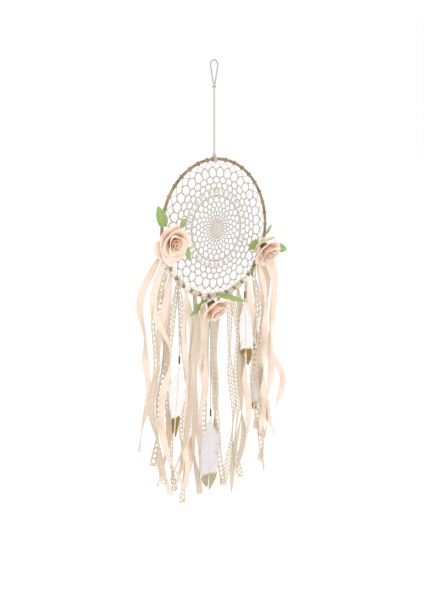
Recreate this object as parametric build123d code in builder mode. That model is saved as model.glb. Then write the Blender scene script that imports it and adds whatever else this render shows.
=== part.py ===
from build123d import *
import math
import os

# A flower dream catcher: a rod bent into a hoop, a crocheted web laced into it, three cloth
# roses, sixteen ribbon and lace strips knotted round the lower arc, and four feathers on
# strings.  It hangs by a loop of cord.  Millimetres, +Z up, the hoop in the XZ plane and its
# front towards -Y.  The origin is the inside top of the hanging loop, where a hook bears.

# ---- hanging cord --------------------------------------------------------------------
CORD_DIAMETER = 2.0
HOOK_RADIUS = 5.5           # inside radius of the loop's top
LOOP_HEIGHT = 31.0          # hook seat down to the loop's knot
KNOT_RADIUS = 3.0           # loop knot, about which the cord swings
CORD_LENGTH = 86.0          # straight cord between its two knots
HITCH_RADIUS = 4.4          # cord wrapped round the hoop's top
HITCH_WIDTH = 4.5
HITCH_NECK_RADIUS = 2.0
HITCH_NECK_HEIGHT = 8.0     # hitch knot above the rod's middle line
JOINT_GAP = 0.15            # between pieces that turn on each other

# ---- hoop and web --------------------------------------------------------------------
HOOP_RADIUS = 97.5          # rod's middle line
ROD_RADIUS = 2.1
HOOP_SIDE_SHIFT = 4.5       # the heavier left side swings the hoop to the right
WRAP_GAP = 0.1              # between the rod and what is wrapped round it
WEB_RADIUS = 84.0
WEB_THICKNESS = 1.4
WEB_CENTRE_RADIUS = 12.0    # solid crocheted middle
WEB_ROUNDS = 7              # rounds of holes
WEB_HOLES = 36              # holes in each round
WEB_THREAD = 1.5            # thread left between two holes
THREAD_WIDTH = 1.0          # lacing between web and hoop
LACING_LOOPS = 36

# ---- ribbon strips -------------------------------------------------------------------
STRIP_THICKNESS = 0.6
SATIN_WIDTH = 10.0
LACE_WIDTH = 11.0
COTTON_WIDTH = 10.0
STRIP_KNOT_RADIUS = 5.4     # lark's-head knot round the rod
STRIP_KNOT_ANGLE = 6.4      # degrees of hoop that one knot covers
GATHER_LENGTH = 20.0        # a tail opens to its full width this far below its knot
GATHER_SHARE = 0.4          # its share of that width at the knot
STRIP_LAYERS = 12           # layers of strips from front to back
LAYER_FRONT = -5.0          # Y of the front layer, top to bottom
LAYER_BACK_TOP = 5.0        # Y of the back layer at the hoop
LAYER_BACK_BOTTOM = 21.4    # Y of the back layer at the strips' ends

# ---- roses ---------------------------------------------------------------------------
ROSE_DEPTH = 27.0           # calyx foot to the outer petals' rim
PETAL_WALL = 3.0
CALYX_RADIUS = 7.0
CALYX_HEIGHT = 6.5
LEAF_THICKNESS = 0.8
STEM_RADIUS = 1.2
TIE_WIDTH = 1.4             # a wire or string wrapped round the rod
WIRE_TIE_RADIUS = 2.9

# ---- feathers ------------------------------------------------------------------------
STRING_DIAMETER = 1.0
CRIMP_RADIUS = 1.2
CRIMP_HEIGHT = 11.0
QUILL_RADIUS = 0.9
QUILL_TIP_RADIUS = 0.35
VANE_THICKNESS = 0.8
FEATHER_YAW = -12.0         # degrees that a feather is turned about its string
TIE_GAP = 0.2               # between a string's tie and the string that swings on it
KNOT_FRONT = STRIP_KNOT_RADIUS + 0.8    # a tie's knot stands in front of the strips' knots

HOOP_Z = -(LOOP_HEIGHT + 2 * KNOT_RADIUS + CORD_LENGTH + HITCH_NECK_HEIGHT + HOOP_RADIUS)
HOOP_AXIS = Axis((HOOP_SIDE_SHIFT, 0, HOOP_Z), (0, -1, 0))


def rod_point(angle):
    """A point on the rod's middle line, at an angle from the bottom towards +X."""
    turn = math.radians(angle)
    return Vector(
        HOOP_SIDE_SHIFT + HOOP_RADIUS * math.sin(turn),
        0,
        HOOP_Z - HOOP_RADIUS * math.cos(turn),
    )


def rod_section(angle):
    """The plane across the rod at an angle, its X pointing out of the hoop."""
    turn = math.radians(angle)
    outward = Vector(math.sin(turn), 0, -math.cos(turn))
    along = Vector(math.cos(turn), 0, math.sin(turn))
    return Plane(origin=rod_point(angle), x_dir=outward, z_dir=along)


def arc_angle(width):
    """Degrees of the hoop that a width along the rod takes."""
    return math.degrees(width / HOOP_RADIUS)


def rod_wrap(angle, degrees, outer):
    """A band round the rod, centred at an angle."""
    with BuildPart() as band:
        with BuildSketch(rod_section(angle - degrees / 2)):
            Circle(outer)
            Circle(ROD_RADIUS + WRAP_GAP, mode=Mode.SUBTRACT)
        revolve(axis=HOOP_AXIS, revolution_arc=degrees)
    return band.part


def straight_cord(top, bottom, diameter):
    """A round cord between two points."""
    with BuildPart() as cord:
        with BuildLine():
            run = Line(top, bottom)
        with BuildSketch(Plane(origin=top, z_dir=run % 0)):
            Circle(diameter / 2)
        sweep(path=run)
    length = run.length
    section = math.pi * diameter**2 / 4
    print(f"cord length {length:.1f}, volume over section {cord.part.volume / section:.1f}, no bends")
    return cord.part


def save(solid, name):
    """Write one piece to its own file."""
    solid.label = name
    export_step(solid, f"parts/{name}.step")


os.makedirs("parts", exist_ok=True)

# ---- hanging loop: one turn of cord over the hook, both legs into the knot -------------
loop_radius = HOOK_RADIUS + CORD_DIAMETER / 2
loop_middle = CORD_DIAMETER / 2 - loop_radius
foot_x = 0.62 * CORD_DIAMETER
foot_z = -LOOP_HEIGHT + JOINT_GAP
foot_turn = math.atan2(foot_z - loop_middle, foot_x)
leg_turn = foot_turn + math.acos(loop_radius / math.hypot(foot_x, foot_z - loop_middle))
leg_x = loop_radius * math.cos(leg_turn)
leg_z = loop_middle + loop_radius * math.sin(leg_turn)
with BuildPart() as hanging_loop:
    with BuildLine(Plane.XZ) as loop_path:
        Line((foot_x, foot_z), (leg_x, leg_z))
        CenterArc((0, loop_middle), loop_radius, math.degrees(leg_turn), 180 - 2 * math.degrees(leg_turn))
        Line((-leg_x, leg_z), (-foot_x, foot_z))
    loop_wire = loop_path.wire()
    with BuildSketch(Plane(origin=loop_wire @ 0, z_dir=loop_wire % 0)):
        Circle(CORD_DIAMETER / 2)
    sweep(path=loop_wire)
loop_section = math.pi * CORD_DIAMETER**2 / 4
print(f"hanging_loop length {loop_wire.length:.1f}, bend radius {loop_radius:.1f}, "
      f"volume over section {hanging_loop.part.volume / loop_section:.1f}")
save(hanging_loop.part, "hanging_loop")

# ---- loop knot: round, so that the cord turns about its middle ------------------------
knot_middle = -LOOP_HEIGHT - KNOT_RADIUS
with BuildPart() as loop_knot:
    with BuildSketch(Plane.XZ):
        with Locations((0, knot_middle)):
            Circle(KNOT_RADIUS)
        with Locations((-KNOT_RADIUS, knot_middle)):
            Rectangle(2 * KNOT_RADIUS, 2 * KNOT_RADIUS, mode=Mode.SUBTRACT)
    revolve(axis=Axis((0, 0, knot_middle), (0, 0, 1)), revolution_arc=360)
save(loop_knot.part, "loop_knot")

# ---- hanging cord: straight under the weight -------------------------------------------
cord_top = Vector(0, 0, knot_middle - KNOT_RADIUS - JOINT_GAP)
hitch_top_z = HOOP_Z + HOOP_RADIUS + HITCH_NECK_HEIGHT
cord_bottom = Vector(0, 0, hitch_top_z + JOINT_GAP)
save(straight_cord(cord_top, cord_bottom, CORD_DIAMETER), "hanging_cord")

# ---- hitch: the cord's lower end, wrapped and knotted on top of the hoop ---------------
hitch_angle = 180 + math.degrees(math.asin(HOOP_SIDE_SHIFT / HOOP_RADIUS))
with BuildPart() as cord_hitch:
    add(rod_wrap(hitch_angle, arc_angle(HITCH_WIDTH), HITCH_RADIUS))
    neck_foot = rod_point(hitch_angle).Z + (ROD_RADIUS + HITCH_RADIUS) / 2
    with BuildSketch(Plane.XY.offset(neck_foot)):
        Circle(HITCH_NECK_RADIUS)
    extrude(amount=hitch_top_z - neck_foot)
save(cord_hitch.part, "cord_hitch")

# ---- hoop: a round rod bent into a ring ------------------------------------------------
with BuildPart() as hoop:
    with BuildSketch(rod_section(0)):
        Circle(ROD_RADIUS)
    revolve(axis=HOOP_AXIS, revolution_arc=360)
save(hoop.part, "hoop")

# ---- crocheted web: a disc with rounds of holes that grow towards the rim --------------
hoop_plane = Plane(origin=(HOOP_SIDE_SHIFT, 0, HOOP_Z), x_dir=(1, 0, 0), z_dir=(0, -1, 0))
hole_growth = (WEB_RADIUS / (WEB_CENTRE_RADIUS + 6 * WEB_THREAD)) ** (1 / WEB_ROUNDS)
with BuildPart() as web_doily:
    with BuildSketch(hoop_plane):
        Circle(WEB_RADIUS)
        for ring in range(WEB_ROUNDS):
            outer = WEB_RADIUS / hole_growth**ring - WEB_THREAD
            inner = WEB_RADIUS / hole_growth ** (ring + 1)
            middle = (outer + inner) / 2
            pitch = 2 * math.pi * middle / WEB_HOLES
            hole_radius = min(pitch - WEB_THREAD, outer - inner) / 2
            with PolarLocations(middle, WEB_HOLES, start_angle=(ring % 2) * 180 / WEB_HOLES):
                Circle(hole_radius, mode=Mode.SUBTRACT)
    extrude(amount=WEB_THICKNESS / 2, both=True)
save(web_doily.part, "web_doily")

# ---- lacing: a V of thread from each rim loop of the web, and its turn round the rod ---
lace_foot = WEB_RADIUS + WRAP_GAP
lace_head = HOOP_RADIUS - ROD_RADIUS - WRAP_GAP - THREAD_WIDTH
half_pitch = 180 / LACING_LOOPS
head_turn = half_pitch - arc_angle(THREAD_WIDTH) * 0.7
with BuildPart() as web_lacing:
    with BuildSketch(hoop_plane) as lacing_sketch:
        for loop in range(LACING_LOOPS):
            foot_at = 2 * half_pitch * loop + half_pitch
            foot = Vector(lace_foot + THREAD_WIDTH / 2, 0).rotate(Axis.Z, foot_at)
            for side in (-1, 1):
                head = Vector(lace_head, 0).rotate(Axis.Z, foot_at + side * head_turn)
                with BuildLine():
                    thread = Line(foot, head)
                trace(thread, line_width=THREAD_WIDTH)
    extrude(amount=THREAD_WIDTH / 2, both=True)
save(web_lacing.part, "web_lacing")

with BuildPart() as lacing_loops:
    for loop in range(LACING_LOOPS):
        loop_at = 2 * half_pitch * loop
        if abs(loop_at - 180) > 1:
            add(rod_wrap(loop_at, arc_angle(THREAD_WIDTH), ROD_RADIUS + WRAP_GAP + THREAD_WIDTH))
save(lacing_loops.part, "lacing_loops")


# ---- strips ----------------------------------------------------------------------------
# One strip is folded over the rod in a lark's-head knot and hangs as two tails.  A tail is
# (layer, drop, x at each fifth of the drop); layer 0 is in front, and x is from the hoop's middle.
def tail(layer, drop, knot_angle, width, places):
    """One hanging tail, flat in its own layer, which leans back towards its end."""
    share = layer / (STRIP_LAYERS - 1)
    top_y = LAYER_FRONT + share * (LAYER_BACK_TOP - LAYER_FRONT)
    bottom_y = LAYER_FRONT + share * (LAYER_BACK_BOTTOM - LAYER_FRONT)
    knot_middle_radius = (ROD_RADIUS + WRAP_GAP + STRIP_KNOT_RADIUS) / 2
    below = math.sqrt(max(knot_middle_radius**2 - top_y**2, 0))
    start = rod_section(knot_angle).from_local_coords((below, 0, 0))
    lean = Vector(0, top_y - bottom_y, drop).normalized()
    facing = Vector(1, 0, 0).cross(lean)
    hang = Plane(origin=(0, top_y, start.Z), x_dir=(1, 0, 0), z_dir=facing)
    fifth = drop / len(places)
    first_x = HOOP_SIDE_SHIFT + places[0]
    gathered_x = start.X + (first_x - start.X) * GATHER_LENGTH / fifth
    middle = [(start.X, 0), (gathered_x, -GATHER_LENGTH)]
    middle += [(HOOP_SIDE_SHIFT + x, -fifth * (i + 1)) for i, x in enumerate(places)]
    halves = [GATHER_SHARE * width / 2] + [width / 2] * (len(places) + 1)
    left = [(x - half, z) for (x, z), half in zip(middle, halves)]
    right = [(x + half, z) for (x, z), half in zip(middle, halves)]
    with BuildPart() as hanging:
        with BuildSketch(hang):
            with BuildLine():
                Spline(*left)
                Spline(*right)
                Line(left[0], right[0])
                Line(left[-1], right[-1])
            make_face()
        extrude(amount=STRIP_THICKNESS / 2, both=True)
    return hanging.part


def strip(name, knot_angle, width, tails):
    """A strip's knot round the rod with its two tails, as one piece."""
    with BuildPart() as piece:
        add(rod_wrap(knot_angle, STRIP_KNOT_ANGLE, STRIP_KNOT_RADIUS))
        for layer, drop, places in tails:
            add(tail(layer, drop, knot_angle, width, places))
    save(piece.part, name)


STRIPS = [
    ("satin_ribbon_1", -75, SATIN_WIDTH,
     [(10, 285, (-128, -124, -116, -118, -133)), (0, 350, (-118, -88, -108, -98, -72))]),
    ("lace_trim_1", -65, LACE_WIDTH,
     [(1, 320, (-115, -113, -121, -114, -100)), (11, 300, (-97, -88, -90, -99, -103))]),
    ("satin_ribbon_2", -55, SATIN_WIDTH,
     [(8, 335, (-97, -106, -111, -98, -82)), (9, 315, (-87, -83, -81, -79, -105))]),
    ("lace_trim_2", -45, LACE_WIDTH,
     [(4, 335, (-64, -58, -63, -60, -62)), (7, 315, (-82, -90, -86, -80, -73))]),
    ("satin_ribbon_3", -35, SATIN_WIDTH,
     [(3, 300, (-62, -57, -57, -63, -57)), (5, 295, (-47, -47, -49, -57, -74))]),
    ("cotton_tape_1", -25, COTTON_WIDTH,
     [(2, 270, (-42, -52, -51, -63, -87)), (6, 315, (-34, -37, -39, -36, -28))]),
    ("satin_ribbon_4", -15, SATIN_WIDTH,
     [(7, 275, (-17, -18, -22, -40, -52)), (8, 310, (-25, -23, -24, -22, -28))]),
    ("lace_trim_3", -5, LACE_WIDTH,
     [(5, 305, (-7, -2, 4, 13, 17)), (9, 290, (-14, -14, -15, -10, -2))]),
    ("cotton_tape_2", 5, COTTON_WIDTH,
     [(10, 275, (0, 0, 8, 13, 8)), (11, 300, (7, 6, 11, 16, 6))]),
    ("lace_trim_4", 15, LACE_WIDTH,
     [(4, 305, (25, 29, 36, 33, 17)), (3, 305, (41, 41, 44, 40, 53))]),
    ("cotton_tape_3", 25, COTTON_WIDTH,
     [(6, 335, (50, 51, 55, 45, 38)), (7, 305, (57, 58, 59, 63, 55))]),
    ("satin_ribbon_5", 35, SATIN_WIDTH,
     [(4, 285, (64, 60, 62, 72, 64)), (3, 305, (74, 85, 101, 110, 93))]),
    ("lace_trim_5", 45, LACE_WIDTH,
     [(2, 275, (81, 78, 75, 80, 102)), (1, 335, (87, 85, 87, 94, 100))]),
    ("satin_ribbon_6", 55, SATIN_WIDTH,
     [(0, 285, (96, 94, 94, 93, 88)), (8, 300, (104, 103, 103, 108, 142))]),
    ("satin_ribbon_7", 65, SATIN_WIDTH,
     [(0, 275, (114, 110, 114, 138, 116)), (10, 310, (104, 102, 104, 112, 111))]),
    ("satin_ribbon_8", 75, SATIN_WIDTH,
     [(1, 300, (118, 110, 111, 109, 110)), (11, 315, (113, 106, 104, 106, 104))]),
]
for strip_name, strip_angle, strip_width, strip_tails in STRIPS:
    strip(strip_name, strip_angle, strip_width, strip_tails)


# ---- roses -----------------------------------------------------------------------------
def rose_plane(foot, facing):
    """The plane of a rose's calyx foot, its Z along the way the flower faces."""
    return Plane(origin=foot, x_dir=(1, 0, 0), z_dir=facing)


def hoop_place(x, y, z):
    """A point given from the hoop's middle."""
    return Vector(HOOP_SIDE_SHIFT + x, y, HOOP_Z + z)


def rose(name, tie_angle, foot, facing, radius):
    """Calyx on its wire tie, a cup of outer petals, and the bud inside it."""
    plane = rose_plane(foot, facing)
    with BuildPart() as calyx:
        with BuildSketch(plane * Plane.XZ):
            with BuildLine():
                Line((0, 0), (STEM_RADIUS * 1.5, 0))
                Spline((STEM_RADIUS * 1.5, 0), (0.8 * CALYX_RADIUS, 0.5 * CALYX_HEIGHT),
                       (CALYX_RADIUS, CALYX_HEIGHT))
                Line((CALYX_RADIUS, CALYX_HEIGHT), (0, CALYX_HEIGHT))
                Line((0, CALYX_HEIGHT), (0, 0))
            make_face()
        revolve(axis=Axis(foot, facing), revolution_arc=360)
        add(rod_wrap(tie_angle, arc_angle(TIE_WIDTH), WIRE_TIE_RADIUS))
        tie_middle = Vector(*rod_point(tie_angle))
        tie_front = tie_middle - Vector(0, (ROD_RADIUS + WIRE_TIE_RADIUS) / 2, 0)
        stem_end = Vector(*foot) + Vector(*facing).normalized() * 0.3 * CALYX_HEIGHT
        with BuildLine():
            stem = Line(tie_front, stem_end)
        with BuildSketch(Plane(origin=tie_front, z_dir=stem % 0)):
            Circle(TIE_WIDTH / 3)
        sweep(path=stem)
    save(calyx.part, f"{name}_calyx")

    cup_foot = CALYX_HEIGHT + WRAP_GAP
    with BuildPart() as petals:
        with BuildSketch(plane * Plane.XZ):
            with BuildLine():
                Line((0, cup_foot), (0.25 * radius, cup_foot))
                Spline((0.25 * radius, cup_foot), (0.78 * radius, 0.45 * ROSE_DEPTH),
                       (radius, 0.78 * ROSE_DEPTH), (0.93 * radius, ROSE_DEPTH))
                Line((0.93 * radius, ROSE_DEPTH), (0.93 * radius - PETAL_WALL, ROSE_DEPTH))
                Spline((0.93 * radius - PETAL_WALL, ROSE_DEPTH),
                       (radius - 1.2 * PETAL_WALL, 0.78 * ROSE_DEPTH),
                       (0.74 * radius - PETAL_WALL, 0.52 * ROSE_DEPTH),
                       (0, cup_foot + PETAL_WALL))
                Line((0, cup_foot + PETAL_WALL), (0, cup_foot))
            make_face()
        revolve(axis=Axis(foot, facing), revolution_arc=360)
    save(petals.part, f"{name}_petals")

    bud_foot = cup_foot + 1.6 * PETAL_WALL
    with BuildPart() as bud:
        with BuildSketch(plane * Plane.XZ):
            with BuildLine():
                Line((0, bud_foot), (0.16 * radius, bud_foot))
                Spline((0.16 * radius, bud_foot), (0.42 * radius, 0.62 * ROSE_DEPTH),
                       (0.44 * radius, 0.85 * ROSE_DEPTH), (0, ROSE_DEPTH + 1))
                Line((0, ROSE_DEPTH + 1), (0, bud_foot))
            make_face()
        revolve(axis=Axis(foot, facing), revolution_arc=360)
    save(bud.part, f"{name}_bud")


def leaf(base, tip, width, facing):
    """A flat pointed leaf from base to tip."""
    reach = Vector(*tip) - Vector(*base)
    length = reach.length
    square = Vector(*facing) - reach * (Vector(*facing).dot(reach) / length**2)
    with BuildPart() as blade:
        with BuildSketch(Plane(origin=base, x_dir=reach, z_dir=square)):
            with BuildLine():
                Spline((0, 0), (0.45 * length, width / 2), (length, 0))
                Spline((0, 0), (0.45 * length, -width / 2), (length, 0))
            make_face()
        extrude(amount=LEAF_THICKNESS / 2, both=True)
    return blade.part


ROSES = [
    ("rose_left", -85, hoop_place(-91, -8, -5), (-0.25, -0.93, -0.27), 27.0),
    ("rose_right", 69.15, hoop_place(82.8, -10, -28.6), (-0.05, -0.75, -0.65), 24.0),
    ("rose_bottom", -10.85, hoop_place(-24, -10, -101.6), (0.2, -0.78, -0.59), 23.0),
]
for rose_name, rose_tie, rose_foot, rose_facing, rose_radius in ROSES:
    rose(rose_name, rose_tie, rose_foot, rose_facing, rose_radius)

# Leaves: (base, tip, width, facing), given from the hoop's middle
LEAVES = {
    "rose_left_leaves": [
        ((-99, -7, 9), (-108, -6, 38), 17, (-0.2, -1, 0)),
        ((-74, -10, 8), (-63, -9, 19), 10, (0, -1, 0)),
        ((-70, -11, -17), (-57, -10, -38), 11, (0, -1, 0)),
    ],
    "rose_right_leaves": [
        ((91, -7.5, -15), (104, -8, -1), 6, (0, -1, 0)),
        ((74, -8.5, -23), (56, -8, -35), 15, (0, -1, 0)),
        ((108, -12, -34), (133, -12, -42), 14, (0, -1, 0)),
    ],
    "rose_bottom_leaves": [
        ((-6, -8, -94), (46, -17, -111), 9, (0.1, -1, -0.3)),
        ((-24, -8, -98), (-58, -9, -118), 10, (0, -1, 0)),
    ],
}
for leaves_name, blades in LEAVES.items():
    with BuildPart() as leaves:
        for blade_base, blade_tip, blade_width, blade_facing in blades:
            add(leaf(hoop_place(*blade_base), hoop_place(*blade_tip), blade_width, blade_facing))
    save(leaves.part, leaves_name)

# A taped wire stem stands out below the right rose
save(straight_cord(hoop_place(68, -8, -52), hoop_place(63, -8, -76), 2 * STEM_RADIUS), "rose_right_stem")


# ---- feathers --------------------------------------------------------------------------
def feather(name, tie_angle, tie_reach, hang_from, string_length, vane_length, vane_width, lean):
    """A string tied to the rod, with its crimp, quill and two vanes.

    tie_reach is how far the tie's knot stands out of the rod's middle along Y; hang_from is
    how far below the rod the swinging string starts; lean is the tip's shift along X."""
    rod_middle = rod_point(tie_angle)
    side = math.copysign(1, tie_reach)
    with BuildPart() as tie:
        add(rod_wrap(tie_angle, arc_angle(TIE_WIDTH), WIRE_TIE_RADIUS))
        if abs(tie_reach) > WIRE_TIE_RADIUS:
            knot_foot = rod_middle + Vector(0, side * (ROD_RADIUS + WIRE_TIE_RADIUS) / 2, 0)
            with BuildSketch(Plane(origin=knot_foot, z_dir=(0, side, 0))):
                Circle(TIE_WIDTH / 2)
            extrude(amount=abs(tie_reach - knot_foot.Y))
    save(tie.part, f"{name}_tie")
    hang_y = tie_reach + side * (TIE_GAP + STRING_DIAMETER / 2)
    hang = Vector(rod_middle.X, hang_y, rod_middle.Z - hang_from)
    if hang_from > 0:
        still_top = Vector(rod_middle.X, hang_y, rod_middle.Z)
        still_end = hang + Vector(0, 0, TIE_GAP)
        save(straight_cord(still_top, still_end, STRING_DIAMETER), f"{name}_fixed_string")
    string_end = hang - Vector(0, 0, string_length)
    save(straight_cord(hang, string_end, STRING_DIAMETER), f"{name}_string")

    with BuildPart() as crimp:
        with BuildSketch(Plane(origin=string_end, z_dir=(0, 0, -1))):
            Circle(CRIMP_RADIUS)
        extrude(amount=CRIMP_HEIGHT)
    save(crimp.part, f"{name}_crimp")

    quill_top = string_end - Vector(0, 0, CRIMP_HEIGHT + WRAP_GAP)
    yaw = math.radians(FEATHER_YAW)
    across = Vector(math.cos(yaw), math.sin(yaw), 0)
    down = Vector(lean * across.X, lean * across.Y, -vane_length).normalized()
    blade_plane = Plane(origin=quill_top, x_dir=across, z_dir=down)
    with BuildPart() as quill:
        with BuildSketch(blade_plane):
            Circle(QUILL_RADIUS)
        with BuildSketch(blade_plane.offset(vane_length)):
            Circle(QUILL_TIP_RADIUS)
        loft()
    save(quill.part, f"{name}_quill")

    flat = Plane(origin=quill_top, x_dir=down, z_dir=across.cross(down))
    slot = QUILL_RADIUS + WRAP_GAP
    with BuildPart() as vanes:
        for edge in (-1, 1):
            with BuildSketch(flat):
                with BuildLine():
                    Spline((3, edge * slot), (0.3 * vane_length, edge * 0.46 * vane_width),
                           (0.62 * vane_length, edge * 0.45 * vane_width), (vane_length, edge * slot))
                    Line((3, edge * slot), (vane_length, edge * slot))
                make_face()
            extrude(amount=VANE_THICKNESS / 2, both=True)
    save(vanes.part, f"{name}_vanes")


feather("feather_center", -9.15, -3.3, 34.0, 138.0, 117.0, 34.0, -4.0)
feather("feather_left", -50.85, -KNOT_FRONT, 0.0, 112.0, 109.0, 30.0, -10.0)
feather("feather_short", 30.85, -KNOT_FRONT, 0.0, 14.0, 106.0, 25.0, 4.0)
feather("feather_right", 60.85, KNOT_FRONT, 0.0, 140.0, 104.0, 20.0, 0.0)
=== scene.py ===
import bpy
import math
import random
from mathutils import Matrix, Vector


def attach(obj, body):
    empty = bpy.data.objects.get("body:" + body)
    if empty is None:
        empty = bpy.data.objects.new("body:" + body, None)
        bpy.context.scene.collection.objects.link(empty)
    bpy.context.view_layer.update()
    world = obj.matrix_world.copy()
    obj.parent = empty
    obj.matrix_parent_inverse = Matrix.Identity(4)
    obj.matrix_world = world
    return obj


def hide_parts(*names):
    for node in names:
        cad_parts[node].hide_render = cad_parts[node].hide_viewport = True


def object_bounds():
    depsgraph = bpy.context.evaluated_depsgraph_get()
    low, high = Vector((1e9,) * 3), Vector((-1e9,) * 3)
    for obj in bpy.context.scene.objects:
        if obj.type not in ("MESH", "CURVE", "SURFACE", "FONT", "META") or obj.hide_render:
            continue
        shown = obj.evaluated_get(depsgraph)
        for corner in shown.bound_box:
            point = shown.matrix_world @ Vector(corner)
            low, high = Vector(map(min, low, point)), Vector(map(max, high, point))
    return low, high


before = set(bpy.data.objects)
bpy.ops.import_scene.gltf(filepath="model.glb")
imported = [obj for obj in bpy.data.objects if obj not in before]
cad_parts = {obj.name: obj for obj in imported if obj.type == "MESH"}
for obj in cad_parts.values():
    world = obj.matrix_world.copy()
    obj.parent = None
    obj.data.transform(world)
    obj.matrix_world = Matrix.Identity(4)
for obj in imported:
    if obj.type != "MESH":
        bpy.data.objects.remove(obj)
cad_low, cad_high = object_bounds()
bpy.context.scene.view_settings.view_transform = "Standard"

# Millimetres here, metres in the meshes. The hoop stands in the XZ plane.
MM = 0.001
HOOP_X = 4.5
HOOP_Z = -228.5
HOOP_R = 97.5               # the rod's middle line


# ---- finishes ------------------------------------------------------------------------
def finish(name, dark, light, patch, coords="Object", rough=0.8, sheen=0.0, weave=0.0,
           bump=0.3, metal=0.0, spots=None, tint=None):
    """A cloth, thread, wood or paint finish: two tones in soft patches, with a woven or
    grained surface. On the satin these patches are painted fold shade and highlight.
    patch and weave are texture scales. tint names a colour attribute and
    gives the colour it brings in; spots is a scale and the colour of small flecks."""
    mat = bpy.data.materials.new(name)
    mat.use_nodes = True
    nodes = mat.node_tree.nodes
    link = mat.node_tree.links.new
    skin = nodes["Principled BSDF"]
    skin.inputs["Roughness"].default_value = rough
    skin.inputs["Metallic"].default_value = metal
    if sheen:
        skin.inputs["Sheen Weight"].default_value = sheen
        skin.inputs["Sheen Roughness"].default_value = 0.4
    where = nodes.new("ShaderNodeTexCoord").outputs[coords]
    mottle = nodes.new("ShaderNodeTexNoise")
    mottle.inputs["Scale"].default_value = patch
    mottle.inputs["Detail"].default_value = 5.0
    link(where, mottle.inputs["Vector"])
    tones = nodes.new("ShaderNodeValToRGB")
    tones.color_ramp.elements[0].position = 0.32
    tones.color_ramp.elements[0].color = (*dark, 1)
    tones.color_ramp.elements[1].position = 0.68
    tones.color_ramp.elements[1].color = (*light, 1)
    link(mottle.outputs["Fac"], tones.inputs["Fac"])
    colour = tones.outputs["Color"]
    if tint:
        mark = nodes.new("ShaderNodeAttribute")
        mark.attribute_name = tint[0]
        blend = nodes.new("ShaderNodeMix")
        blend.data_type = "RGBA"
        blend.inputs[7].default_value = (*tint[1], 1)
        link(mark.outputs["Fac"], blend.inputs[0])
        link(colour, blend.inputs[6])
        colour = blend.outputs[2]
    if spots:
        fleck = nodes.new("ShaderNodeTexVoronoi")
        fleck.inputs["Scale"].default_value = spots[0]
        link(where, fleck.inputs["Vector"])
        keep = nodes.new("ShaderNodeValToRGB")
        keep.color_ramp.elements[0].position = 0.05
        keep.color_ramp.elements[0].color = (1, 1, 1, 1)
        keep.color_ramp.elements[1].position = 0.25
        keep.color_ramp.elements[1].color = (0, 0, 0, 1)
        link(fleck.outputs["Distance"], keep.inputs["Fac"])
        dot = nodes.new("ShaderNodeMix")
        dot.data_type = "RGBA"
        dot.inputs[7].default_value = (*spots[1], 1)
        link(keep.outputs["Color"], dot.inputs[0])
        link(colour, dot.inputs[6])
        colour = dot.outputs[2]
    link(colour, skin.inputs["Base Color"])
    height = mottle.outputs["Fac"]
    if weave:
        warp = nodes.new("ShaderNodeTexWave")
        warp.inputs["Scale"].default_value = weave
        warp.inputs["Distortion"].default_value = 1.5
        link(where, warp.inputs["Vector"])
        weft = nodes.new("ShaderNodeTexWave")
        weft.bands_direction = "Z" if coords == "Object" else "Y"
        weft.inputs["Scale"].default_value = weave
        weft.inputs["Distortion"].default_value = 1.5
        link(where, weft.inputs["Vector"])
        cross = nodes.new("ShaderNodeMath")
        cross.operation = "MAXIMUM"
        link(warp.outputs["Fac"], cross.inputs[0])
        link(weft.outputs["Fac"], cross.inputs[1])
        height = cross.outputs["Value"]
    relief = nodes.new("ShaderNodeBump")
    relief.inputs["Strength"].default_value = bump
    relief.inputs["Distance"].default_value = 0.0004
    link(height, relief.inputs["Height"])
    link(relief.outputs["Normal"], skin.inputs["Normal"])
    return mat


cord_finish = finish("twisted_cord", (0.42, 0.40, 0.36), (0.56, 0.53, 0.48), 900, weave=260,
                     bump=0.6)
rod_finish = finish("rattan_rod", (0.20, 0.13, 0.07), (0.42, 0.29, 0.16), 60, rough=0.5,
                    weave=30, bump=0.25)
yarn = finish("crochet_yarn", (0.50, 0.45, 0.40), (0.64, 0.58, 0.52), 700, weave=420, bump=0.5)
picot_yarn = finish("picot_yarn", (0.64, 0.56, 0.50), (0.78, 0.70, 0.63), 700, weave=420, bump=0.5)
# The satin's two tones lie in long soft swirls along each tail: painted fold shade and highlight,
# darker and lighter where its folds would be shaded and lit.
satin = finish("peach_satin_painted_fold_shade", (0.83, 0.66, 0.54), (0.89, 0.75, 0.64), 0.8, "UV", rough=0.38,
               sheen=0.2, weave=70, bump=0.05)
lace = finish("cream_lace", (0.68, 0.56, 0.42), (0.78, 0.67, 0.52), 8, "UV", rough=0.9,
              sheen=0.2, weave=24, bump=0.5)
cotton = finish("beige_cotton", (0.66, 0.54, 0.41), (0.75, 0.64, 0.51), 8, "UV", rough=0.9,
                sheen=0.2, weave=30, bump=0.4)
# The heart tint is deep orange towards the petals' feet and the bud's foot, deep in the cup:
# partly the rose's own orange heart, partly painted shade.
petal_cloth = finish("petal_cloth", (0.91, 0.71, 0.57), (0.96, 0.82, 0.71), 60, rough=0.85,
                     sheen=0.25, weave=600, bump=0.15, tint=("heart", (0.84, 0.44, 0.20)))
leaf_cloth = finish("leaf_cloth", (0.22, 0.36, 0.07), (0.38, 0.52, 0.18), 6, "UV", rough=0.6,
                    weave=12, bump=0.4, tint=("vein", (0.40, 0.52, 0.22)))
wire_green = finish("taped_wire", (0.10, 0.14, 0.04), (0.20, 0.24, 0.09), 500, weave=300, bump=0.5)
binding = finish("rod_binding", (0.32, 0.23, 0.13), (0.48, 0.36, 0.23), 700, weave=420, bump=0.5)
thread = finish("waxed_thread", (0.36, 0.32, 0.28), (0.50, 0.45, 0.40), 900, weave=500, bump=0.5)
crimp_metal = finish("dark_crimp", (0.04, 0.03, 0.03), (0.11, 0.08, 0.06), 600, rough=0.35,
                     metal=0.8, bump=0.3)
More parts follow.
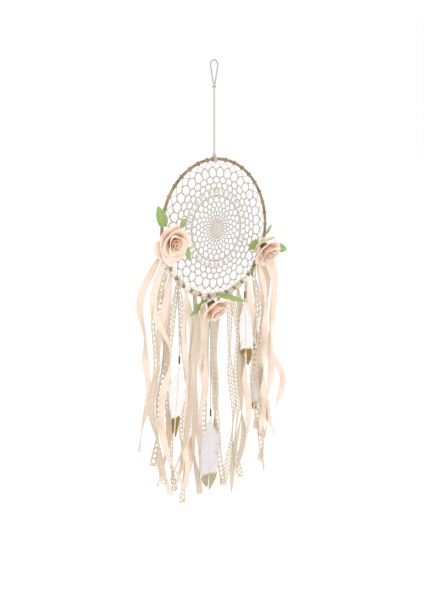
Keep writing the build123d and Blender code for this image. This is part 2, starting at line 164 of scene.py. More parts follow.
quill_horn = finish("quill_horn", (0.70, 0.64, 0.54), (0.86, 0.82, 0.74), 300, rough=0.35,
                    bump=0.1)
barb_white = finish("white_barbs", (0.80, 0.78, 0.76), (0.92, 0.90, 0.89), 160, "UV", rough=0.75,
                    sheen=0.3, weave=60, bump=0.3)
barb_blush = finish("blush_barbs", (0.68, 0.62, 0.64), (0.80, 0.75, 0.77), 160, "UV", rough=0.75,
                    sheen=0.3, weave=60, bump=0.3)
gilt = finish("gilt_paint", (0.22, 0.12, 0.01), (0.42, 0.26, 0.05), 500, rough=0.42, metal=0.75,
              bump=0.8, spots=(1800, (0.72, 0.52, 0.18)))
pale_gilt = finish("pale_gilt_paint", (0.36, 0.28, 0.15), (0.56, 0.46, 0.29), 500, rough=0.45,
                   metal=0.55, bump=0.6, spots=(1800, (0.70, 0.60, 0.40)))


def repaint(node, mat):
    """Gives a carried CAD node its finish."""
    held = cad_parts[node].data.materials
    held.clear()
    held.append(mat)


# ---- camera, floor and light ---------------------------------------------------------
camera_data = bpy.data.cameras.new("camera")
camera_data.lens = 42.2
camera_data.sensor_width = 36.0
camera_data.shift_x = -0.0078
camera_data.shift_y = -0.0058
camera = bpy.data.objects.new("camera", camera_data)
bpy.context.collection.objects.link(camera)
camera.location = Vector((HOOP_X - 660.3, -755.9, HOOP_Z + 113.8)) * MM
camera.rotation_euler = (math.radians(78), 0, math.radians(-41.14))
bpy.context.scene.camera = camera

bpy.ops.object.select_all(action="DESELECT")
bpy.ops.mesh.primitive_plane_add(size=120, location=(0, 0, cad_low[2] - 0.6))
floor = bpy.context.object
floor.name = "floor"
floor_paint = bpy.data.materials.new("floor_paint")
floor_paint.use_nodes = True
floor_shader = floor_paint.node_tree.nodes["Principled BSDF"]
floor_shader.inputs["Base Color"].default_value = (1, 1, 1, 1)
floor_shader.inputs["Roughness"].default_value = 0.9
floor_shader.inputs["Emission Color"].default_value = (1, 1, 1, 1)
floor_shader.inputs["Emission Strength"].default_value = 0.04
floor.data.materials.append(floor_paint)


def soft_light(name, place, aim, size, power):
    """A square studio light at a place, turned to a point."""
    data = bpy.data.lights.new(name, "AREA")
    data.size = size
    data.energy = power
    lamp = bpy.data.objects.new(name, data)
    bpy.context.collection.objects.link(lamp)
    lamp.location = place
    lamp.rotation_euler = (Vector(aim) - Vector(place)).to_track_quat("-Z", "Y").to_euler()


soft_light("key_light", (-1.3, -1.5, 0.7), (0, 0, -0.3), 1.0, 9)
soft_light("fill_light", (1.6, -1.2, 0.2), (0, 0, -0.35), 1.4, 3)
soft_light("back_light", (0.3, 1.6, 0.5), (0, 0, -0.3), 1.4, 4)
world = bpy.data.worlds.new("studio")
bpy.context.scene.world = world
world.use_nodes = True
world.node_tree.nodes["Background"].inputs["Color"].default_value = (1, 1, 1, 1)
world.node_tree.nodes["Background"].inputs["Strength"].default_value = 1.0


# ---- making pieces -------------------------------------------------------------------
def piece(name, points, faces, mats, body, nodes, slot, uvs=None, marks=None, kinds=None,
          thick=0.0):
    """One finished piece from its points in millimetres. uvs and marks go by point."""
    data = bpy.data.meshes.new(name)
    data.from_pydata([Vector(p) * MM for p in points], [], faces)
    obj = bpy.data.objects.new(name, data)
    bpy.context.collection.objects.link(obj)
    for mat in mats:
        data.materials.append(mat)
    if kinds:
        data.polygons.foreach_set("material_index", kinds)
    if uvs:
        layer = data.uv_layers.new(name="flat")
        corners = [i for face in faces for i in face]
        layer.data.foreach_set("uv", [c for i in corners for c in uvs[i]])
    if marks:
        shade = data.color_attributes.new(marks[0], "FLOAT_COLOR", "POINT")
        shade.data.foreach_set("color", [c for v in marks[1] for c in (v, v, v, 1.0)])
    bpy.ops.object.select_all(action="DESELECT")
    obj.select_set(True)
    bpy.context.view_layer.objects.active = obj
    if thick:
        wall = obj.modifiers.new("wall", "SOLIDIFY")
        wall.thickness = thick * MM
        wall.offset = 0
        bpy.ops.object.modifier_apply(modifier="wall")
    bpy.ops.object.shade_smooth_by_angle(angle=math.radians(60))
    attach(obj, body)
    if nodes:
        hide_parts(*nodes)
    return obj


def add_tube(points, faces, path, radius, sides=5, closed=False):
    """Adds one thread along a path. Radius is one number, or one for each point."""
    start = len(points)
    count = len(path)
    radii = radius if hasattr(radius, "__len__") else [radius] * count
    for i, here in enumerate(path):
        before = path[i - 1] if i or closed else here
        after = path[(i + 1) % count] if i < count - 1 or closed else here
        way = (Vector(after) - Vector(before)).normalized()
        side = way.cross(Vector((0, 1, 0)))
        if side.length < 0.05:
            side = way.cross(Vector((1, 0, 0)))
        side.normalize()
        up = side.cross(way)
        for k in range(sides):
            turn = 2 * math.pi * k / sides
            points.append(Vector(here) + radii[i] * (math.cos(turn) * side + math.sin(turn) * up))
    rings = count if closed else count - 1
    for i in range(rings):
        for k in range(sides):
            a = start + i * sides + k
            b = start + i * sides + (k + 1) % sides
            c = start + ((i + 1) % count) * sides + (k + 1) % sides
            d = start + ((i + 1) % count) * sides + k
            faces.append((a, b, c, d))
    if not closed:
        faces.append(tuple(start + k for k in reversed(range(sides))))
        faces.append(tuple(start + (count - 1) * sides + k for k in range(sides)))


def polar(radius, degrees, y=0.0):
    """A point on the web, its angle from the top towards +X."""
    turn = math.radians(degrees)
    return (HOOP_X + radius * math.sin(turn), y, HOOP_Z + radius * math.cos(turn))


# ---- cords ---------------------------------------------------------------------------
# Routes, lengths and thicknesses of cords are in metres.
CORD_THICK = 0.002
STRING_THICK = 0.001


def free_cord(name, route, length, diameter, body, node, mat):
    """A cord on its route, as one smooth curve."""
    data = bpy.data.curves.new(name, "CURVE")
    data.dimensions = "3D"
    data.bevel_depth = diameter / 2
    data.bevel_resolution = 3
    data.resolution_u = 8
    data.use_fill_caps = True
    line = data.splines.new("NURBS")
    line.points.add(len(route) - 1)
    for point, place in zip(line.points, route):
        point.co = (*place, 1)
    line.order_u = 3
    line.use_endpoint_u = True
    obj = bpy.data.objects.new(name, data)
    bpy.context.collection.objects.link(obj)
    data.materials.append(mat)
    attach(obj, body)
    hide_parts(node)
    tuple(route[0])
    return obj


free_cord("loop_of_cord",
          [(0.00124, 0, -0.03085), (0.0046, 0, -0.0150), (0.0066, 0, -0.0062),
           (0.0065, 0, -0.0028), (0.0027, 0, 0.0010), (-0.0027, 0, 0.0010),
           (-0.0065, 0, -0.0028), (-0.0066, 0, -0.0062), (-0.0046, 0, -0.0150),
           (-0.00124, 0, -0.03085)],
          0.0722, CORD_THICK, "hanger", "hanging_loop", cord_finish)
free_cord("cord_down_to_hoop",
          [(0, 0, -0.03715), (0, 0, -0.058), (0, 0, -0.080), (0, 0, -0.102), (0, 0, -0.12285)],
          0.0857, CORD_THICK, "cord", "hanging_cord", cord_finish)

# Each feather: its hinge on the hoop, then lengths and widths along it. gold is where the paint
# starts, as a share of its length, ends is where its two vanes stop, and shape is its half
# width at even steps down.
FEATHERS = {
    "center": dict(hinge=(-11.0, -4.0, -358.76), string=138, vane=117, width=34, lean=-4,
                   gold=0.78, barbs=barb_blush, paint=pale_gilt, ends=(0.95, 1.0),
                   shape=(0.12, 0.6, 0.92, 1.0, 0.98, 0.95, 0.92, 0.72, 0.1)),
    "left": dict(hinge=(-71.11, -6.9, -290.06), string=112, vane=109, width=30, lean=-10,
                 gold=0.72, barbs=barb_white, paint=gilt, ends=(0.93, 0.98),
                 shape=(0.12, 0.55, 0.9, 1.0, 0.9, 0.7, 0.45, 0.34, 0.16)),
    "short": dict(hinge=(54.5, -6.9, -312.2), string=14, vane=106, width=25, lean=4,
                  gold=0.74, barbs=barb_white, paint=gilt, ends=(0.80, 0.97),
                  shape=(0.12, 0.5, 0.85, 1.0, 0.98, 0.94, 0.86, 0.74, 0.25)),
    "right": dict(hinge=(89.65, 6.9, -276.0), string=140, vane=104, width=20, lean=0,
                  gold=0.84, barbs=barb_white, paint=gilt, ends=(0.93, 1.0),
                  shape=(0.12, 0.5, 0.8, 1.0, 0.95, 0.85, 0.75, 0.5, 0.08)),
}
for key, made in FEATHERS.items():
    x, y, z = (c * MM for c in made["hinge"])
    drop = made["string"] * MM
    if key == "short":
        repaint("feather_short_string", thread)
    else:
        free_cord(f"{key}_feather_string",
                  [(x, y, z), (x, y, z - drop / 3), (x, y, z - 2 * drop / 3), (x, y, z - drop)],
                  drop, STRING_THICK, f"feather_{key}", f"feather_{key}_string", thread)
    repaint(f"feather_{key}_tie", thread)
    repaint(f"feather_{key}_crimp", crimp_metal)
    repaint(f"feather_{key}_quill", quill_horn)
free_cord("center_still_string",
          [(-0.0110, -0.004, -0.32476), (-0.0110, -0.004, -0.3360), (-0.0110, -0.004, -0.3473),
           (-0.0110, -0.004, -0.35856)],
          0.0338, STRING_THICK, "hoop", "feather_center_fixed_string", thread)

# The knot under the loop is one overhand turn of the cord.
KNOT_Z = -34.0
KNOT_REACH = 0.66
KNOT_DEPTH = 0.9
KNOT_STEPS = 48
knot_points, knot_faces = [], []
knot_path = []
for step in range(KNOT_STEPS):
    turn = 2 * math.pi * step / KNOT_STEPS
    knot_path.append((KNOT_REACH * (math.sin(turn) + 2 * math.sin(2 * turn)),
                      -KNOT_DEPTH * math.sin(3 * turn),
                      KNOT_Z + KNOT_REACH * (math.cos(turn) - 2 * math.cos(2 * turn))))
add_tube(knot_points, knot_faces, knot_path, 0.95, 8, closed=True)
piece("overhand_knot", knot_points, knot_faces, [cord_finish], "knot", ["loop_knot"], "cord")
repaint("cord_hitch", cord_finish)
repaint("hoop", rod_finish)
repaint("lacing_loops", binding)

# ---- crocheted web -------------------------------------------------------------------
MIDDLE = 9.8                # radius of the solid middle
NET = [10.0, 14.4, 19.6, 25.4, 31.8, 38.6, 46.2]    # rounds of the small net
NET_CELLS = 24
PICOT_FOOT = 50.2           # the round of bobbles stands here
OUTER = [47.2, 57.6, 65.4, 73.6, 86.4]              # rounds of the large cells
OUTER_CELLS = 36
chance = random.Random(7)
web_points, web_faces = [], []


def web_ring(radius, lobes, wave, girth):
    """A round of thread, drawn into small lobes."""
    path = []
    for step in range(lobes * 6):
        degrees = 360 * step / (lobes * 6)
        reach = radius + wave * math.cos(math.radians(lobes * degrees))
        path.append(polar(reach, degrees, 0.12 * math.sin(math.radians(3 * degrees))))
    add_tube(web_points, web_faces, path, girth, 5, closed=True)


def web_cells(count, low, high, offset, girth, post=0.5):
    """A round of cells: a stitch rises from each arch below it, and an arch joins two stitches."""
    pitch = 360 / count
    shoulder = low + (high - low) * post
    leans = [chance.uniform(-0.07, 0.07) for cell in range(count)]
    for cell in range(count):
        foot = (cell + offset) * pitch
        lean = leans[cell] * pitch
        add_tube(web_points, web_faces,
                 [polar(low - 0.3, foot), polar((low + shoulder) / 2, foot + 0.4 * lean),
                  polar(shoulder + 0.3, foot + lean)], [girth * 1.1, girth * 0.95, girth * 1.3], 5)
        next_lean = leans[(cell + 1) % count] * pitch
        peak = high + chance.uniform(-0.4, 0.4)
        path = []
        for step in range(9):
            s = step / 8
            arch = math.sin(math.pi * s) ** 0.7
            degrees = foot + lean + s * (pitch + next_lean - lean)
            path.append(polar(shoulder + (peak - shoulder) * arch, degrees,
                              0.3 * math.sin(3.1 * step + cell)))
        add_tube(web_points, web_faces, path,
                 [girth * (1.3 if step in (0, 4, 8) else 1) for step in range(9)], 5)


# The solid middle is one thread wound outwards.
spiral = []
for step in range(210):
    spiral.append(polar(0.4 + 8.6 * step / 210, step * 15, 0.35 * math.sin(step * 1.9)))
add_tube(web_points, web_faces, spiral, 0.85, 5)
centre_to = len(web_faces)
web_ring(MIDDLE, NET_CELLS, 0.35, 0.75)
for level in range(len(NET) - 1):
    web_cells(NET_CELLS, NET[level], NET[level + 1], 0.5 * (level % 2), 0.72 + 0.06 * level, 0.42)
web_ring(46.8, OUTER_CELLS, 0.5, 0.95)
for level, (offset, girth, post) in enumerate(
        [(0.5, 1.0, 0.72), (0.0, 1.08, 0.66), (0.5, 1.08, 0.66), (0.0, 1.0, 0.58)]):
    web_cells(OUTER_CELLS, OUTER[level], OUTER[level + 1], offset, girth, post)
picot_from = len(web_faces)
for group in range(24):
    for loop in range(2):
        middle = group * 15 + (loop - 0.5) * 5.6 + chance.uniform(-0.6, 0.6)
        lean = chance.uniform(-3.0, 3.0)
        wide = chance.uniform(1.2, 1.9)
        tall = chance.uniform(5.4, 7.6)
        path = []
        for step in range(12):
            turn = 2 * math.pi * step / 12
            rise = 0.5 - 0.5 * math.cos(turn)
            path.append(polar(PICOT_FOOT + tall * rise,
                              middle + lean * rise + wide * math.sin(turn),
                              -0.5 + chance.uniform(-0.4, 0.4)))
        add_tube(web_points, web_faces, path, 0.7, 5, closed=True)
web_kinds = [1] * centre_to + [0] * (picot_from - centre_to) + [1] * (len(web_faces) - picot_from)
piece("crochet_web", web_points, web_faces, [yarn, picot_yarn], "hoop", ["web_doily"],
      "web_cotton", kinds=web_kinds)

# A V of thread ties each outer cell to the rod, with a knot at its foot. Two cells have no knot.
tie_points, tie_faces = [], []
for cell in range(OUTER_CELLS):
    foot = (cell + 0.5) * 10
    for side in (-1, 1):
        add_tube(tie_points, tie_faces,
                 [polar(OUTER[-1], foot), polar(90.0, foot + side * 2.2, 0.2 * side),
                  polar(93.4, foot + side * 4.4, 0.3 * side),
                  polar(94.9, foot + side * 4.9, 0.3 * side)], 0.5, 5)
    if cell % 18 != 9:
        knot = [polar(87.2 + 0.9 * math.sin(t * 2.1), foot + 0.7 * math.cos(t * 2.1),
                      0.5 * math.sin(t)) for t in range(9)]
        add_tube(tie_points, tie_faces, knot, 0.45, 5)
piece("web_ties", tie_points, tie_faces, [yarn], "hoop", ["web_lacing"], "web_cotton")

# ---- ribbon, lace and cotton strips --------------------------------------------------
# Each strip: its name, its knot's angle from the bottom, its width and its two tails. A tail has
# its layer from front to back, its drop, and its X at even steps down.
STRIPS = [
    ("satin_ribbon_1", -75, 10,
     [(10, 285, (-128, -124, -116, -118, -133)), (0, 350, (-118, -88, -108, -98, -72))]),
    ("lace_trim_1", -65, 11,
     [(1, 320, (-115, -113, -121, -114, -100)), (11, 300, (-97, -88, -90, -99, -103))]),
    ("satin_ribbon_2", -55, 10,
     [(8, 335, (-97, -106, -111, -98, -82)), (9, 315, (-87, -83, -81, -79, -105))]),
    ("lace_trim_2", -45, 11,
     [(4, 335, (-64, -58, -63, -60, -62)), (7, 315, (-82, -90, -86, -80, -73))]),
    ("satin_ribbon_3", -35, 10,
     [(3, 300, (-62, -57, -57, -63, -57)), (5, 295, (-47, -47, -49, -57, -74))]),
    ("cotton_tape_1", -25, 10,
     [(2, 270, (-42, -52, -51, -63, -87)), (6, 315, (-34, -37, -39, -36, -28))]),
    ("satin_ribbon_4", -15, 10,
     [(7, 275, (-17, -18, -22, -40, -52)), (8, 310, (-25, -23, -24, -22, -28))]),
    ("lace_trim_3", -5, 11,
     [(5, 305, (-7, -2, 4, 13, 17)), (9, 290, (-14, -14, -15, -10, -2))]),
    ("cotton_tape_2", 5, 10,
     [(10, 275, (0, 0, 8, 13, 8)), (11, 300, (7, 6, 11, 16, 6))]),
    ("lace_trim_4", 15, 11,
     [(4, 305, (25, 29, 36, 33, 17)), (3, 305, (41, 41, 44, 40, 53))]),
    ("cotton_tape_3", 25, 10,
     [(6, 335, (50, 51, 55, 45, 38)), (7, 305, (57, 58, 59, 63, 55))]),
    ("satin_ribbon_5", 35, 10,
     [(4, 285, (64, 60, 62, 72, 64)), (3, 305, (74, 85, 101, 110, 93))]),
    ("lace_trim_5", 45, 11,
     [(2, 275, (81, 78, 75, 80, 102)), (1, 335, (87, 85, 87, 94, 100))]),
    ("satin_ribbon_6", 55, 10,
     [(0, 285, (96, 94, 94, 93, 88)), (8, 300, (104, 103, 103, 108, 142))]),
    ("satin_ribbon_7", 65, 10,
     [(0, 275, (114, 110, 114, 138, 116)), (10, 310, (104, 102, 104, 112, 111))]),
    ("satin_ribbon_8", 75, 10,
     [(1, 300, (118, 110, 111, 109, 110)), (11, 315, (113, 106, 104, 106, 104))]),
]


def flat_satin(width, length):
    """A plain strip's flat net: points (across, along) and faces. Its end is cut slanting."""
    net, faces = [], []
    rows = int(length / 4)
    for row in range(rows + 1):
        for col in range(7):
            q = (col / 6 - 0.5) * width
            s = length * row / rows
            slant = 0.35 * q * max(0, (row - rows + 4) / 4)
            net.append((q, min(s, length - 4) + max(0, s - length + 4) + slant))
    for row in range(rows):
        for col in range(6):
            a = row * 7 + col
            faces.append((a, a + 1, a + 8, a + 7))
    return net, faces


def flat_openwork(width, length, columns, pitch, scallop):
    """A lace's flat net: columns are (left, right, hole's half width, half height, shift)."""
    net, faces, index = [], [], {}

    def at(q, s):
        if abs(q) > 0.46 * width and scallop:
            inset = scallop * (1 - abs(math.sin(math.pi * s / (2 * pitch))))
            q = math.copysign(0.5 * width - inset, q)
        key = (round(q, 3), round(s, 3))
        if key not in index:
            index[key] = len(net)
            net.append((q, s))
        return index[key]

    for left, right, wide, tall, shift in columns:
        low = -shift * pitch
        while low < length:
            s0, s1 = max(low, 0), min(low + pitch, length)
            low += pitch
            if s1 - s0 < 0.2:
                continue
            q_mid, s_mid = (left + right) / 2, (s0 + s1) / 2
            rim = [at(left, s0), at(q_mid, s0), at(right, s0), at(right, s_mid),
                   at(right, s1), at(q_mid, s1), at(left, s1), at(left, s_mid)]
            if wide and s1 - s0 > 0.9 * pitch:
                hole = []
                for k in range(8):
                    turn = math.radians(-135 + 45 * k)
                    hole.append(len(net))
                    net.append((q_mid + wide * math.cos(turn), s_mid + tall * math.sin(turn)))
                for k in range(8):
                    j = (k + 1) % 8
                    faces.append((rim[k], rim[j], hole[j], hole[k]))
            else:
                centre = len(net)
                net.append((q_mid, s_mid))
                for k in (0, 2, 4, 6):
                    faces.append((rim[k], rim[(k + 1) % 8], centre, rim[k - 1]))
    return net, faces


def flat_net(name, width, length):
    """The flat net of one tail, by the kind of strip."""
    if name.startswith("satin"):
        return flat_satin(width, length)
    if name in ("lace_trim_1", "lace_trim_3", "lace_trim_5"):
        return flat_openwork(width, length, [
            (-5.5, -3.3, 0.6, 1.5, 0.5), (-3.3, 3.3, 2.7, 3.1, 0.0), (3.3, 5.5, 0.6, 1.5, 0.5)],
            8.0, 2.4)
    if name.startswith("lace"):
        return flat_openwork(width, length, [
            (-5.5, -3.6, 0.5, 1.3, 0.0), (-3.6, 0, 1.45, 2.6, 0.5), (0, 3.6, 1.45, 2.6, 0.0),
            (3.6, 5.5, 0.5, 1.3, 0.5)], 6.6, 2.2)
    return flat_openwork(width, length, [
        (-5, -2.8, 0.6, 0.8, 0.0), (-2.8, -0.9, 0, 0, 0.5), (-0.9, 0.9, 0.45, 0.9, 0.0),
        (0.9, 2.8, 0, 0, 0.5), (2.8, 5, 0.6, 0.8, 0.0)], 3.2, 0.9)


def along_line(places, t):
    """A smooth line through evenly spaced places, at a share t of its run."""
    spans = len(places) - 1
    at = min(max(t, 0), 0.99999) * spans
    i = int(at)
    f = at - i
    p1, p2 = places[i], places[i + 1]
    p0 = places[i - 1] if i else 2 * p1 - p2
    p3 = places[i + 2] if i + 2 <= spans else 2 * p2 - p1
    return 0.5 * (2 * p1 + (p2 - p0) * f + (2 * p0 - 5 * p1 + 4 * p2 - p3) * f * f
                  + (3 * p1 - p0 - 3 * p2 + p3) * f ** 3)


def hang_tail(points, faces, uvs, name, knot_angle, width, layer, drop, places, seed):
    """Hangs one tail's flat net from its knot, in its own layer, with waves and a soft twist."""
    own = random.Random(seed)
    share = layer / 11
    top_y = -5 + share * 10
    bottom_y = -5 + share * 26.4
    turn = math.radians(knot_angle)
    below = math.sqrt(max(16.0 - top_y ** 2, 0))
    start_x = HOOP_R * math.sin(turn) + below * math.sin(turn)
    start_z = HOOP_Z - HOOP_R * math.cos(turn) - below * math.cos(turn)
    xs = [start_x] + list(places)
    curls = own.uniform(2.0, 3.4)
    stray = own.uniform(1.5, 3.2)
    outer = abs(places[2]) > 92
    facing = -0.22 if outer else 0.0
    swing = own.uniform(0.8, 1.2) if outer else own.uniform(0.5, 0.75)
    cycles = own.uniform(1.6, 2.8)
    phase = own.uniform(0, 6.28)
    ripple = own.uniform(1.5, 2.6)
    bow = own.uniform(-0.9, 0.9)
    net, net_faces = flat_net(name, width, drop)
    base = len(points)
    for q, s in net:
        t = s / drop
        x = along_line(xs, t)
        ahead = along_line(xs, min(t + 0.02, 1.0))
        behind = along_line(xs, max(t - 0.02, 0.0))
        slope = (ahead - behind) / (drop * (min(t + 0.02, 1) - max(t - 0.02, 0)))
        settled = min(1, 1.5 * t)
        x += stray * math.sin(curls * 2 * math.pi * t) * settled
        slope += stray * curls * 2 * math.pi * math.cos(curls * 2 * math.pi * t) * settled / drop
        fall = 1 / math.sqrt(1 + slope * slope)
        opened = min(1, 0.42 + 0.58 * s / 24)
        pleat = max(0, 1 - s / 34)
        angle = (swing * math.sin(cycles * 2 * math.pi * t + phase) + facing) * min(1, 2.2 * t)
        u = 2 * q / width
        x += q * opened * fall * math.cos(angle)
        z = start_z - s + q * opened * slope * fall * math.cos(angle)
        y = top_y + (bottom_y - top_y) * t
        y += q * opened * math.sin(angle)
        y += (0.25 + 0.75 * t) * 0.8 * math.sin(ripple * 2 * math.pi * t + 2 * phase)
        y += bow * (1 - u * u) * min(1, 3 * t) + pleat * 1.1 * math.sin(4.2 * u + phase)
        points.append((HOOP_X + x, y, z))
        uvs.append((q / width, s / width))
    faces.extend(tuple(base + i for i in face) for face in net_faces)


def wrap_rod(points, faces, uvs, angle, width, inner, outer, seed):
    """One turn of a strip round the rod, rumpled and full in its middle."""
    own = random.Random(seed)
    base = len(points)
    around, across = 20, 5
    for i in range(around):
        turn = 2 * math.pi * i / around
        puff = own.uniform(-0.5, 0.6)
        for j in range(across):
            u = j / (across - 1) * 2 - 1
            reach = inner + (outer - inner) * (1 - u * u) ** 0.6 + puff * (1 - abs(u))
            at = math.radians(angle + u * math.degrees(width / 2 / HOOP_R)
                              + 0.55 * math.sin(turn * 2 + seed) + 0.3 * math.sin(turn + 2 * seed))
            out = HOOP_R + reach * math.cos(turn)
            points.append((HOOP_X + out * math.sin(at), -reach * math.sin(turn),
                           HOOP_Z - out * math.cos(at)))
            uvs.append((u / 2, i / 3))
    for i in range(around):
        for j in range(across - 1):
            a = base + i * across + j
            b = base + ((i + 1) % around) * across + j
            faces.append((a, a + 1, b + 1, b))


def knot_bar(points, faces, uvs, angle, reach, seed):
    """The fold of a lark's-head knot, lying over its two turns on the front of the rod."""
    own = random.Random(seed)
    base = len(points)
    for i in range(9):
        u = i / 4 - 1
        at = math.radians(angle + u * 3.0)
        for j in range(5):
            w = j / 2 - 1
            out = HOOP_R + 2.9 * w + 0.7 * own.uniform(-1, 1) + 0.6
            y = -reach - 0.5 + 1.6 * abs(u) ** 3 + 0.9 * w * w
            points.append((HOOP_X + out * math.sin(at), y, HOOP_Z - out * math.cos(at)))
            uvs.append((w / 2, u / 2))
    for i in range(8):
        for j in range(4):
            a = base + i * 5 + j
            faces.append((a, a + 1, a + 6, a + 5))


for number, (name, angle, width, tails) in enumerate(STRIPS):
    points, faces, uvs = [], [], []
    for side, (layer, drop, places) in enumerate(tails):
        hang_tail(points, faces, uvs, name, angle, width, layer, drop, places, 10 * number + side)
    knots = random.Random(400 + number)
    for side in (-1, 1):
        wrap_rod(points, faces, uvs, angle + side * 1.7 + knots.uniform(-0.4, 0.4),
                 knots.uniform(4.2, 5.6), 2.4, knots.uniform(3.8, 4.8), 50 + 2 * number + side)
    knot_bar(points, faces, uvs, angle, 4.3, 90 + number)
    kind, wall = ("satin", 0.25) if name.startswith("satin") else (
        ("lace", 0.45) if name.startswith("lace") else ("cotton_tape", 0.5))
    mat = {"satin": satin, "lace": lace, "cotton_tape": cotton}[kind]
    made = piece(f"{name}_cloth", points, faces, [mat], "hoop", [name], kind, uvs=uvs, thick=wall)

# ---- roses ---------------------------------------------------------------------------
# Each rose: its name, its foot from the hoop's centre, the way it faces, its radius, its seed,
# and how much wider and taller than round it is.
ROSES = [
    ("rose_left", (-91, -8, -5), (-0.25, -0.93, -0.27), 27.0, 0.3, 0.88, 1.12),
    ("rose_right", (82.8, -10, -28.6), (-0.05, -0.75, -0.65), 24.0, 1.4, 0.9, 1.3),
    ("rose_bottom", (-24, -10, -101.6), (0.2, -0.78, -0.59), 23.0, 2.2, 1.3, 0.85),
]
DEPTH = 27.0                # a calyx's foot to the rim
PETAL_WALL = 0.45
BACK_PETALS = {             # middle angle, half angle, reach, low, high
    "rose_left": ((-2.5, 0.6, 31.0, 6.6, 14.0), (-1.7, 0.6, 30.0, 6.6, 15.0)),
    "rose_right": ((2.0, 0.9, 17.0, 2.0, 7.0), (2.9, 0.9, 20.0, 2.5, 7.5)),
    "rose_bottom": ((1.8, 0.9, 15.0, 1.5, 5.0), (2.7, 0.9, 19.0, 2.0, 6.0)),
}


def add_petal(points, faces, marks, place, middle, half_angle, inner, outer, low, high,
              curl, heart, own, rows=10, cols=13):
    """One petal of a cup, wrapped round the flower's axis, its rim curled and ruffled."""
    base = len(points)
    wave = own.uniform(0, 6.28)
    tip_lean = own.uniform(-0.12, 0.12)
    for i in range(rows):
        v = i / (rows - 1)
        for j in range(cols):
            u = 2 * j / (cols - 1) - 1
            rim = v * (1 - 0.28 * abs(u) ** 2.2)
            spread = (0.35 + 0.65 * math.sin(0.5 * math.pi * min(1, 1.5 * v)))
            angle = middle + u * half_angle * spread + tip_lean * v
            reach = inner + (outer - inner) * rim ** 0.72
            reach += curl * max(0, rim - 0.62) ** 2 * 6.5
            reach += 0.9 * u * u * v + 1.3 * math.sin(4.5 * u + wave) * v ** 3
            reach += 1.1 * math.sin(2.6 * u + 2 * wave) * math.sin(3 * v + wave)
            rise = low + (high - low) * math.sin(0.5 * math.pi * rim * 1.06)
            rise -= curl * max(0, rim - 0.72) ** 2 * 16
            rise += 1.2 * math.cos(5.2 * u + 2 * wave) * v ** 3
            points.append(place(reach * math.cos(angle), reach * math.sin(angle), rise))
            # The heart mark grows towards the petal's foot and is strongest on the inner petals:
            # partly the rose's own orange, partly painted shade deep in the cup.
            marks.append(max(0.0, min(1.0, heart * (1 - v) ** 1.2)))
    for i in range(rows - 1):
        for j in range(cols - 1):
            a = base + i * cols + j
            faces.append((a, a + 1, a + cols + 1, a + cols))


for name, foot, facing, radius, seed, broad, tall in ROSES:
    own = random.Random(int(seed * 100))
    axis = Vector(facing).normalized()
    side = Vector((1, 0, 0)) - axis * axis.x
    side.normalize()
    third = axis.cross(side)
    origin = Vector((HOOP_X + foot[0], foot[1], HOOP_Z + foot[2]))

    def place(a, b, c, origin=origin, side=side * broad, third=third * tall, axis=axis):
        return origin + a * side + b * third + c * axis

    points, faces, marks = [], [], []
    for middle, half_angle, outer, low, high in BACK_PETALS[name]:
        add_petal(points, faces, marks, place, middle, half_angle, 6.0, outer, low, high,
                  0.25, 0.15, own)
    for k in range(5):
        add_petal(points, faces, marks, place, seed + k * 1.257 + own.uniform(-0.3, 0.3),
                  own.uniform(0.75, 1.0), 2.5, radius * own.uniform(0.8, 0.98), 6.8,
                  DEPTH * own.uniform(0.62, 0.8), own.uniform(0.3, 1.3), 0.35, own)
    for k in range(4):
        add_petal(points, faces, marks, place, seed + 0.6 + k * 1.57 + own.uniform(-0.35, 0.35),
                  own.uniform(0.9, 1.2), 2.2, radius * own.uniform(0.55, 0.74), 7.4,
                  DEPTH * own.uniform(0.84, 1.0), own.uniform(0.1, 0.9), 0.6, own)
    for k in range(3):
        add_petal(points, faces, marks, place, seed + 0.2 + k * 2.1 + own.uniform(-0.4, 0.4), 1.3,
                  1.6, radius * own.uniform(0.34, 0.5), 8.2,
                  DEPTH * own.uniform(0.95, 1.06), own.uniform(0.0, 0.5), 0.95, own)
    piece(f"{name}_cup_petals", points, faces, [petal_cloth], "hoop", [f"{name}_petals"],
          "petal_cloth", marks=("heart", marks), thick=PETAL_WALL)

    points, faces, marks = [], [], []
    turns, steps = 1.7, 48
    for step in range(steps + 1):
        share = step / steps
        angle = seed + 2 * math.pi * turns * share
        reach = (0.04 + 0.2 * share ** 0.8) * radius
        for j in range(7):
            v = j / 6
            out = reach * (0.55 + 0.5 * v) + (0.7 * (v ** 4) if share > 0.5 else 0)
            rise = 11 + (DEPTH + 0.5 - 11 - 2.5 * share) * v + 0.5 * math.sin(3 * angle) * v
            points.append(place(out * math.cos(angle), out * math.sin(angle), rise))
            # On the bud the heart mark is strongest at its foot deep in the cup: partly its own
            # orange, partly painted shade.
            marks.append(0.9 * (1 - v) ** 0.6)
    for step in range(steps):
        for j in range(6):
            a = step * 7 + j
            faces.append((a, a + 7, a + 8, a + 1))
    piece(f"{name}_rolled_heart", points, faces, [petal_cloth], "hoop", [f"{name}_bud"],
          "petal_heart", marks=("heart", marks), thick=PETAL_WALL)
    repaint(f"{name}_calyx", wire_green)
repaint("rose_right_stem", wire_green)

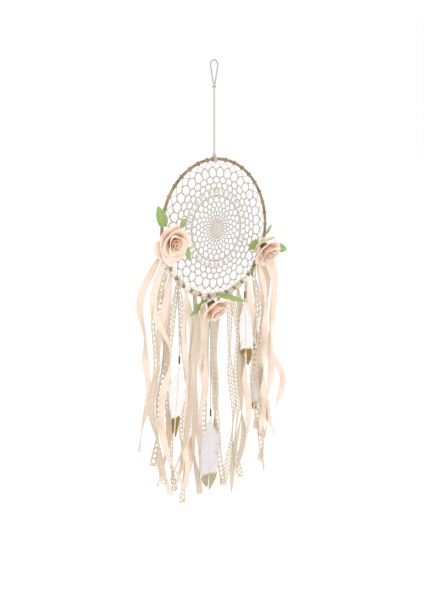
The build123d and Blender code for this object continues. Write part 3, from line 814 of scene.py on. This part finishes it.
# Each leaf: its root and its tip from the hoop's centre, its width and the way it faces.
LEAVES = {
    "rose_left_leaves": [
        ((-99, -7, 9), (-108, -6, 38), 17, (-0.2, -1, 0)),
        ((-74, -10, 8), (-63, -9, 19), 10, (0, -1, 0)),
        ((-70, -11, -17), (-57, -10, -38), 11, (0, -1, 0)),
    ],
    "rose_right_leaves": [
        ((91, -7.5, -15), (104, -8, -1), 6, (0, -1, 0)),
        ((74, -8.5, -23), (56, -8, -35), 15, (0, -1, 0)),
        ((108, -12, -34), (133, -12, -42), 14, (0, -1, 0)),
    ],
    "rose_bottom_leaves": [
        ((-6, -8, -94), (46, -17, -111), 9, (0.1, -1, -0.3)),
        ((-24, -8, -98), (-58, -9, -118), 10, (0, -1, 0)),
    ],
}
for name, blades in LEAVES.items():
    points, faces, uvs, marks = [], [], [], []
    for number, (base_at, tip_at, width, facing) in enumerate(blades):
        root = Vector((HOOP_X + base_at[0], base_at[1], HOOP_Z + base_at[2]))
        reach = Vector(tip_at) - Vector(base_at)
        square = (Vector(facing) - reach * (Vector(facing).dot(reach) / reach.length_squared))
        square.normalize()
        across = square.cross(reach).normalized()
        base = len(points)
        rows, cols = 25, 9
        for i in range(rows):
            v = i / (rows - 1)
            half = 0.5 * width * math.sin(math.pi * min(1, 0.06 + 0.94 * v) ** 0.85) ** 0.8
            if i % 2:
                half *= 0.84
            for j in range(cols):
                u = 2 * j / (cols - 1) - 1
                lift = 0.16 * half * abs(u) + 0.5 * math.sin(7 * v + number) * u * u
                lift += 0.06 * width * math.sin(math.pi * v)
                swept = v + 0.03 * (1 - abs(u))
                points.append(root + reach * min(swept, 1.0) + across * u * half + square * lift)
                uvs.append((u / 2, v * 2))
                rib = 1.0 if j == 4 else (0.45 if (i + abs(j - 4)) % 4 == 0 else 0.0)
                marks.append(rib)
        for i in range(rows - 1):
            for j in range(cols - 1):
                a = base + i * cols + j
                faces.append((a, a + 1, a + cols + 1, a + cols))
    piece(f"{name}_cloth", points, faces, [leaf_cloth], "hoop", [name], "leaf_cloth",
          uvs=uvs, marks=("vein", marks), thick=0.4)

# ---- feathers ------------------------------------------------------------------------
BARBS = 46                  # on each side
CRIMP_LENGTH = 11.1         # a string's end to the quill's top
FEATHER_YAW = -12           # degrees


def outline(shape, v):
    """A vane's half width at a share of its length, from its shape's even stations."""
    return max(along_line(shape, v), 0.0)


for key, made in FEATHERS.items():
    own = random.Random(len(key) * 31 + made["string"])
    hinge = Vector(made["hinge"])
    top = hinge - Vector((0, 0, made["string"] + CRIMP_LENGTH))
    yaw = math.radians(FEATHER_YAW)
    across = Vector((math.cos(yaw), math.sin(yaw), 0))
    down = Vector((made["lean"] * across.x, made["lean"] * across.y, -made["vane"])).normalized()
    face_out = across.cross(down)
    points, faces, uvs, kinds = [], [], [], []
    cols = 6
    for side in (-1, 1):
        end = made["ends"][0 if side < 0 else 1]
        for barb in range(BARBS):
            v0 = 0.03 + (end - 0.03) * barb / BARBS
            v1 = 0.03 + (end - 0.03) * (barb + 1) / BARBS
            split = own.random() < 0.22 and v1 < made["gold"] - 0.1
            notch = own.uniform(0.55, 0.95) if split else 0.0
            lift = own.uniform(-0.25, 0.25)
            short = own.uniform(0.94, 1.0) if barb > 4 else own.uniform(0.5, 1.0)
            base = len(points)
            for i in range(cols):
                u = i / (cols - 1)
                for v in (v0, v1 - (v1 - v0) * notch * u ** 2):
                    sweep = min(0.12, 0.02 + max(end - v, 0) * 0.7)
                    half = 0.475 * made["width"] * outline(made["shape"], v + sweep) * short
                    s = made["vane"] * (v + u * sweep)
                    bend = -1.3 * u * u * (1 if side > 0 else 0.7) + lift * u
                    out = side * (0.9 + u * max(half - 0.9, 0.15))
                    points.append(top + down * s + across * out + face_out * bend)
                    uvs.append((side * u / 2, v * 4))
            for i in range(cols - 1):
                a = base + 2 * i
                faces.append((a, a + 2, a + 3, a + 1) if side > 0 else (a, a + 1, a + 3, a + 2))
                u = (i + 0.5) / (cols - 1)
                reach = (v0 + v1) / 2 + 0.12 * u + own.uniform(-0.012, 0.012)
                kinds.append(1 if reach > made["gold"] else 0)
    piece(f"{key}_feather_vanes", points, faces, [made["barbs"], made["paint"]], f"feather_{key}",
          [f"feather_{key}_vanes"], "gilt_barbs" if key == "short" else "barbs",
          uvs=uvs, kinds=kinds, thick=0.3)
